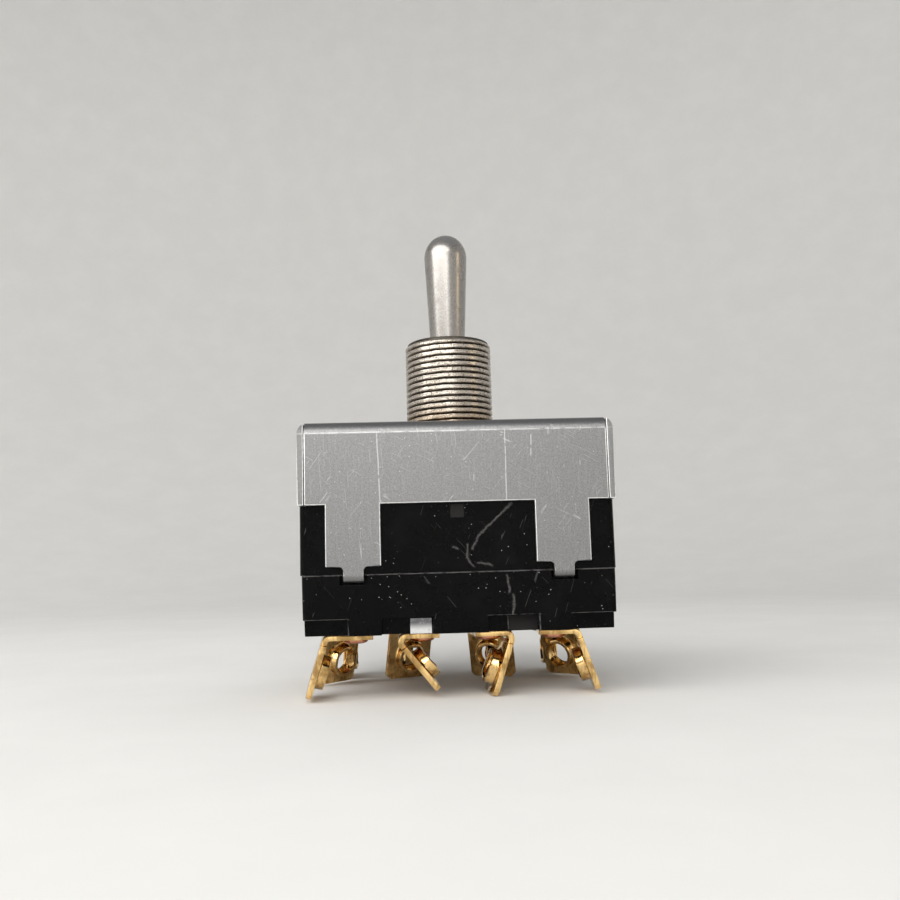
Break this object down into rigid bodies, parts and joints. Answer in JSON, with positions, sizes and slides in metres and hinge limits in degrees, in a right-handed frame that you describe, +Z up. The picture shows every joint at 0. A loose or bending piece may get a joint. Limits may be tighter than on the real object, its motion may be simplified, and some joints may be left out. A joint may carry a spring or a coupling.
{
  "type": "toggle switch",
  "caption": "Panel-mount toggle switch with a threaded bushing, bat lever, folded steel frame, black moulded body and brass screw lugs, centre off",
  "frame": {"origin": "on the bushing axis, on the top face of the frame, where the panel seats", "axes": "+Z up along the bushing towards the lever's tip, +X along the row of poles, +Y across the rows, the way the lever swings"},
  "size_m": [0.0384, 0.033, 0.0623],
  "materials": {
    "frame_steel": "zinc-plated sheet steel, grey with fine scratches",
    "bushing_nickel": "nickel-plated brass with a fine thread, warm",
    "lever_nickel": "satin nickel-plated brass",
    "case_resin": "black moulded resin, glossy, with light scratches",
    "lug_brass": "bright stamped brass strip",
    "rivet_copper": "copper-coloured rivet",
    "lug_plate": "bright plated sheet",
    "plain_brass": "plain brass",
    "spring_steel": "steel wire",
    "contact_silver": "silver contact",
    "gasket_fibre": "hard fibre sheet",
    "carriage_resin": "brown moulded resin"
  },
  "bodies": {
    "housing": {"mounting_frame": "frame_steel", "bushing": "bushing_nickel", "seat_ring": "plain_brass", "gasket": "gasket_fibre", "case": "case_resin", "base": "case_resin", "pocket_lug": "lug_plate", "saddle_1": "plain_brass", "saddle_2": "plain_brass", "saddle_3": "plain_brass", "saddle_4": "plain_brass", "front_terminal_1": "lug_brass", "front_terminal_2": "lug_brass", "front_terminal_3": "lug_brass", "front_terminal_4": "lug_brass", "centre_terminal_1": "lug_brass", "centre_terminal_2": "lug_brass", "centre_terminal_3": "lug_brass", "centre_terminal_4": "lug_brass", "rear_terminal_1": "lug_brass", "rear_terminal_2": "lug_brass", "rear_terminal_3": "lug_brass", "rear_terminal_4": "lug_brass", "front_rivets": "rivet_copper", "centre_rivets": "rivet_copper", "rear_rivets": "rivet_copper", "front_contacts": "contact_silver", "rear_contacts": "contact_silver"},
    "handle": {"lever": "lever_nickel", "pivot_pin": "spring_steel"},
    "slider": {"carriage": "carriage_resin", "plunger_1": "plain_brass", "plunger_2": "plain_brass", "plunger_3": "plain_brass", "plunger_4": "plain_brass", "plunger_spring_1": "spring_steel", "plunger_spring_2": "spring_steel", "plunger_spring_3": "spring_steel", "plunger_spring_4": "spring_steel"},
    "tumbler_1": {"rocker_1": "plain_brass"},
    "tumbler_2": {"rocker_2": "plain_brass"},
    "tumbler_3": {"rocker_3": "plain_brass"},
    "tumbler_4": {"rocker_4": "plain_brass"}
  },
  "joints": [
    {"name": "lever_tilt", "type": "hinge", "parent": "housing", "child": "handle", "pos_m": [0, 0, 0.004], "axis": [1, 0, 0], "range_deg": [-12, 12]},
    {"name": "carriage_slide", "type": "slide", "parent": "housing", "child": "slider", "axis": [0, 1, 0], "range_m": [-0.00198, 0.00198]},
    {"name": "rocker_tilt_1", "type": "hinge", "parent": "housing", "child": "tumbler_1", "pos_m": [-0.0128, 0, -0.01905], "axis": [1, 0, 0], "range_deg": [-6, 6]},
    {"name": "rocker_tilt_2", "type": "hinge", "parent": "housing", "child": "tumbler_2", "pos_m": [-0.0046, 0, -0.01905], "axis": [1, 0, 0], "range_deg": [-6, 6]},
    {"name": "rocker_tilt_3", "type": "hinge", "parent": "housing", "child": "tumbler_3", "pos_m": [0.0036, 0, -0.01905], "axis": [1, 0, 0], "range_deg": [-6, 6]},
    {"name": "rocker_tilt_4", "type": "hinge", "parent": "housing", "child": "tumbler_4", "pos_m": [0.0118, 0, -0.01905], "axis": [1, 0, 0], "range_deg": [-6, 6]}
  ],
  "couplings": [
    {"joint": "carriage_slide", "follows": "lever_tilt", "m_per_rad": 0.0094307},
    {"joint": "rocker_tilt_1", "follows": "lever_tilt", "ratio": -0.5},
    {"joint": "rocker_tilt_2", "follows": "lever_tilt", "ratio": -0.5},
    {"joint": "rocker_tilt_3", "follows": "lever_tilt", "ratio": -0.5},
    {"joint": "rocker_tilt_4", "follows": "lever_tilt", "ratio": -0.5}
  ]
}
